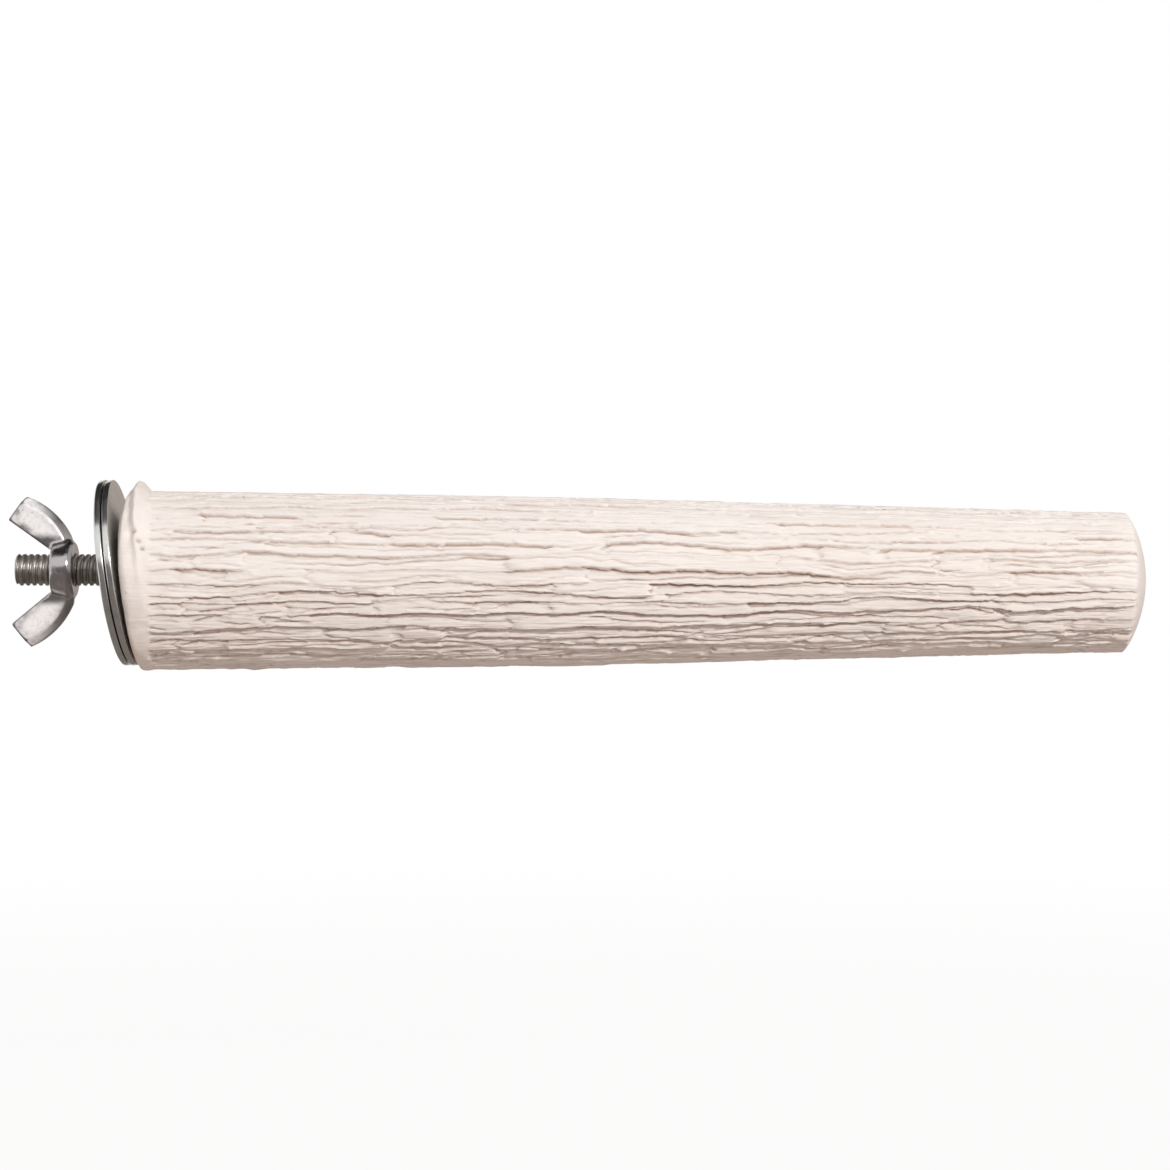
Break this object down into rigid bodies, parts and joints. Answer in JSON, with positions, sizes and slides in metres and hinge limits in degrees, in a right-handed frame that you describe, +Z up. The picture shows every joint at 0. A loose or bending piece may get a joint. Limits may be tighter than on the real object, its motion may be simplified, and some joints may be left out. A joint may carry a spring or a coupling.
{
  "type": "bird perch",
  "caption": "Tapered cast mineral bird perch with bark furrows, clamped to cage bars between large washers by a wing nut on a threaded rod.",
  "frame": {"origin": "on the threaded rod's axis where it leaves the cast end of the perch", "axes": "+X along the rod and the bar, from the cage to the perch's tip; +Z up; +Y to the left of a viewer who looks along +X"},
  "size_m": [0.2274, 0.0374, 0.0383],
  "materials": {
    "cast_mineral": "matte, cast with a bark texture",
    "rod_steel": "zinc plated, dull",
    "washer_steel": "zinc plated, bright",
    "nut_zinc": "forged, zinc plated, frosted wings"
  },
  "bodies": {
    "perch": {"perch_body": "cast_mineral", "threaded_rod": "rod_steel", "anchor_nut": "rod_steel"},
    "inner_washer": {"inner_washer": "washer_steel"},
    "outer_washer": {"outer_washer": "washer_steel"},
    "wing_nut": {"wing_nut": "nut_zinc"}
  },
  "joints": [
    {"name": "inner_washer_spin", "type": "hinge", "parent": "perch", "child": "inner_washer", "pos_m": [-0.00153, 0, -0.00058], "axis": [0.9911, 0, 0.1331], "continuous": true},
    {"name": "clamp_travel", "type": "slide", "parent": "perch", "child": "outer_washer", "axis": [-1, 0, 0], "range_m": [0, 0.01143]},
    {"name": "nut_turn", "type": "hinge", "parent": "outer_washer", "child": "wing_nut", "pos_m": [-0.01098, 0, 0], "axis": [-1, 0, 0], "range_deg": [0, 3240]}
  ],
  "couplings": [
    {"joint": "clamp_travel", "follows": "nut_turn", "m_per_rad": 0.00020213}
  ]
}
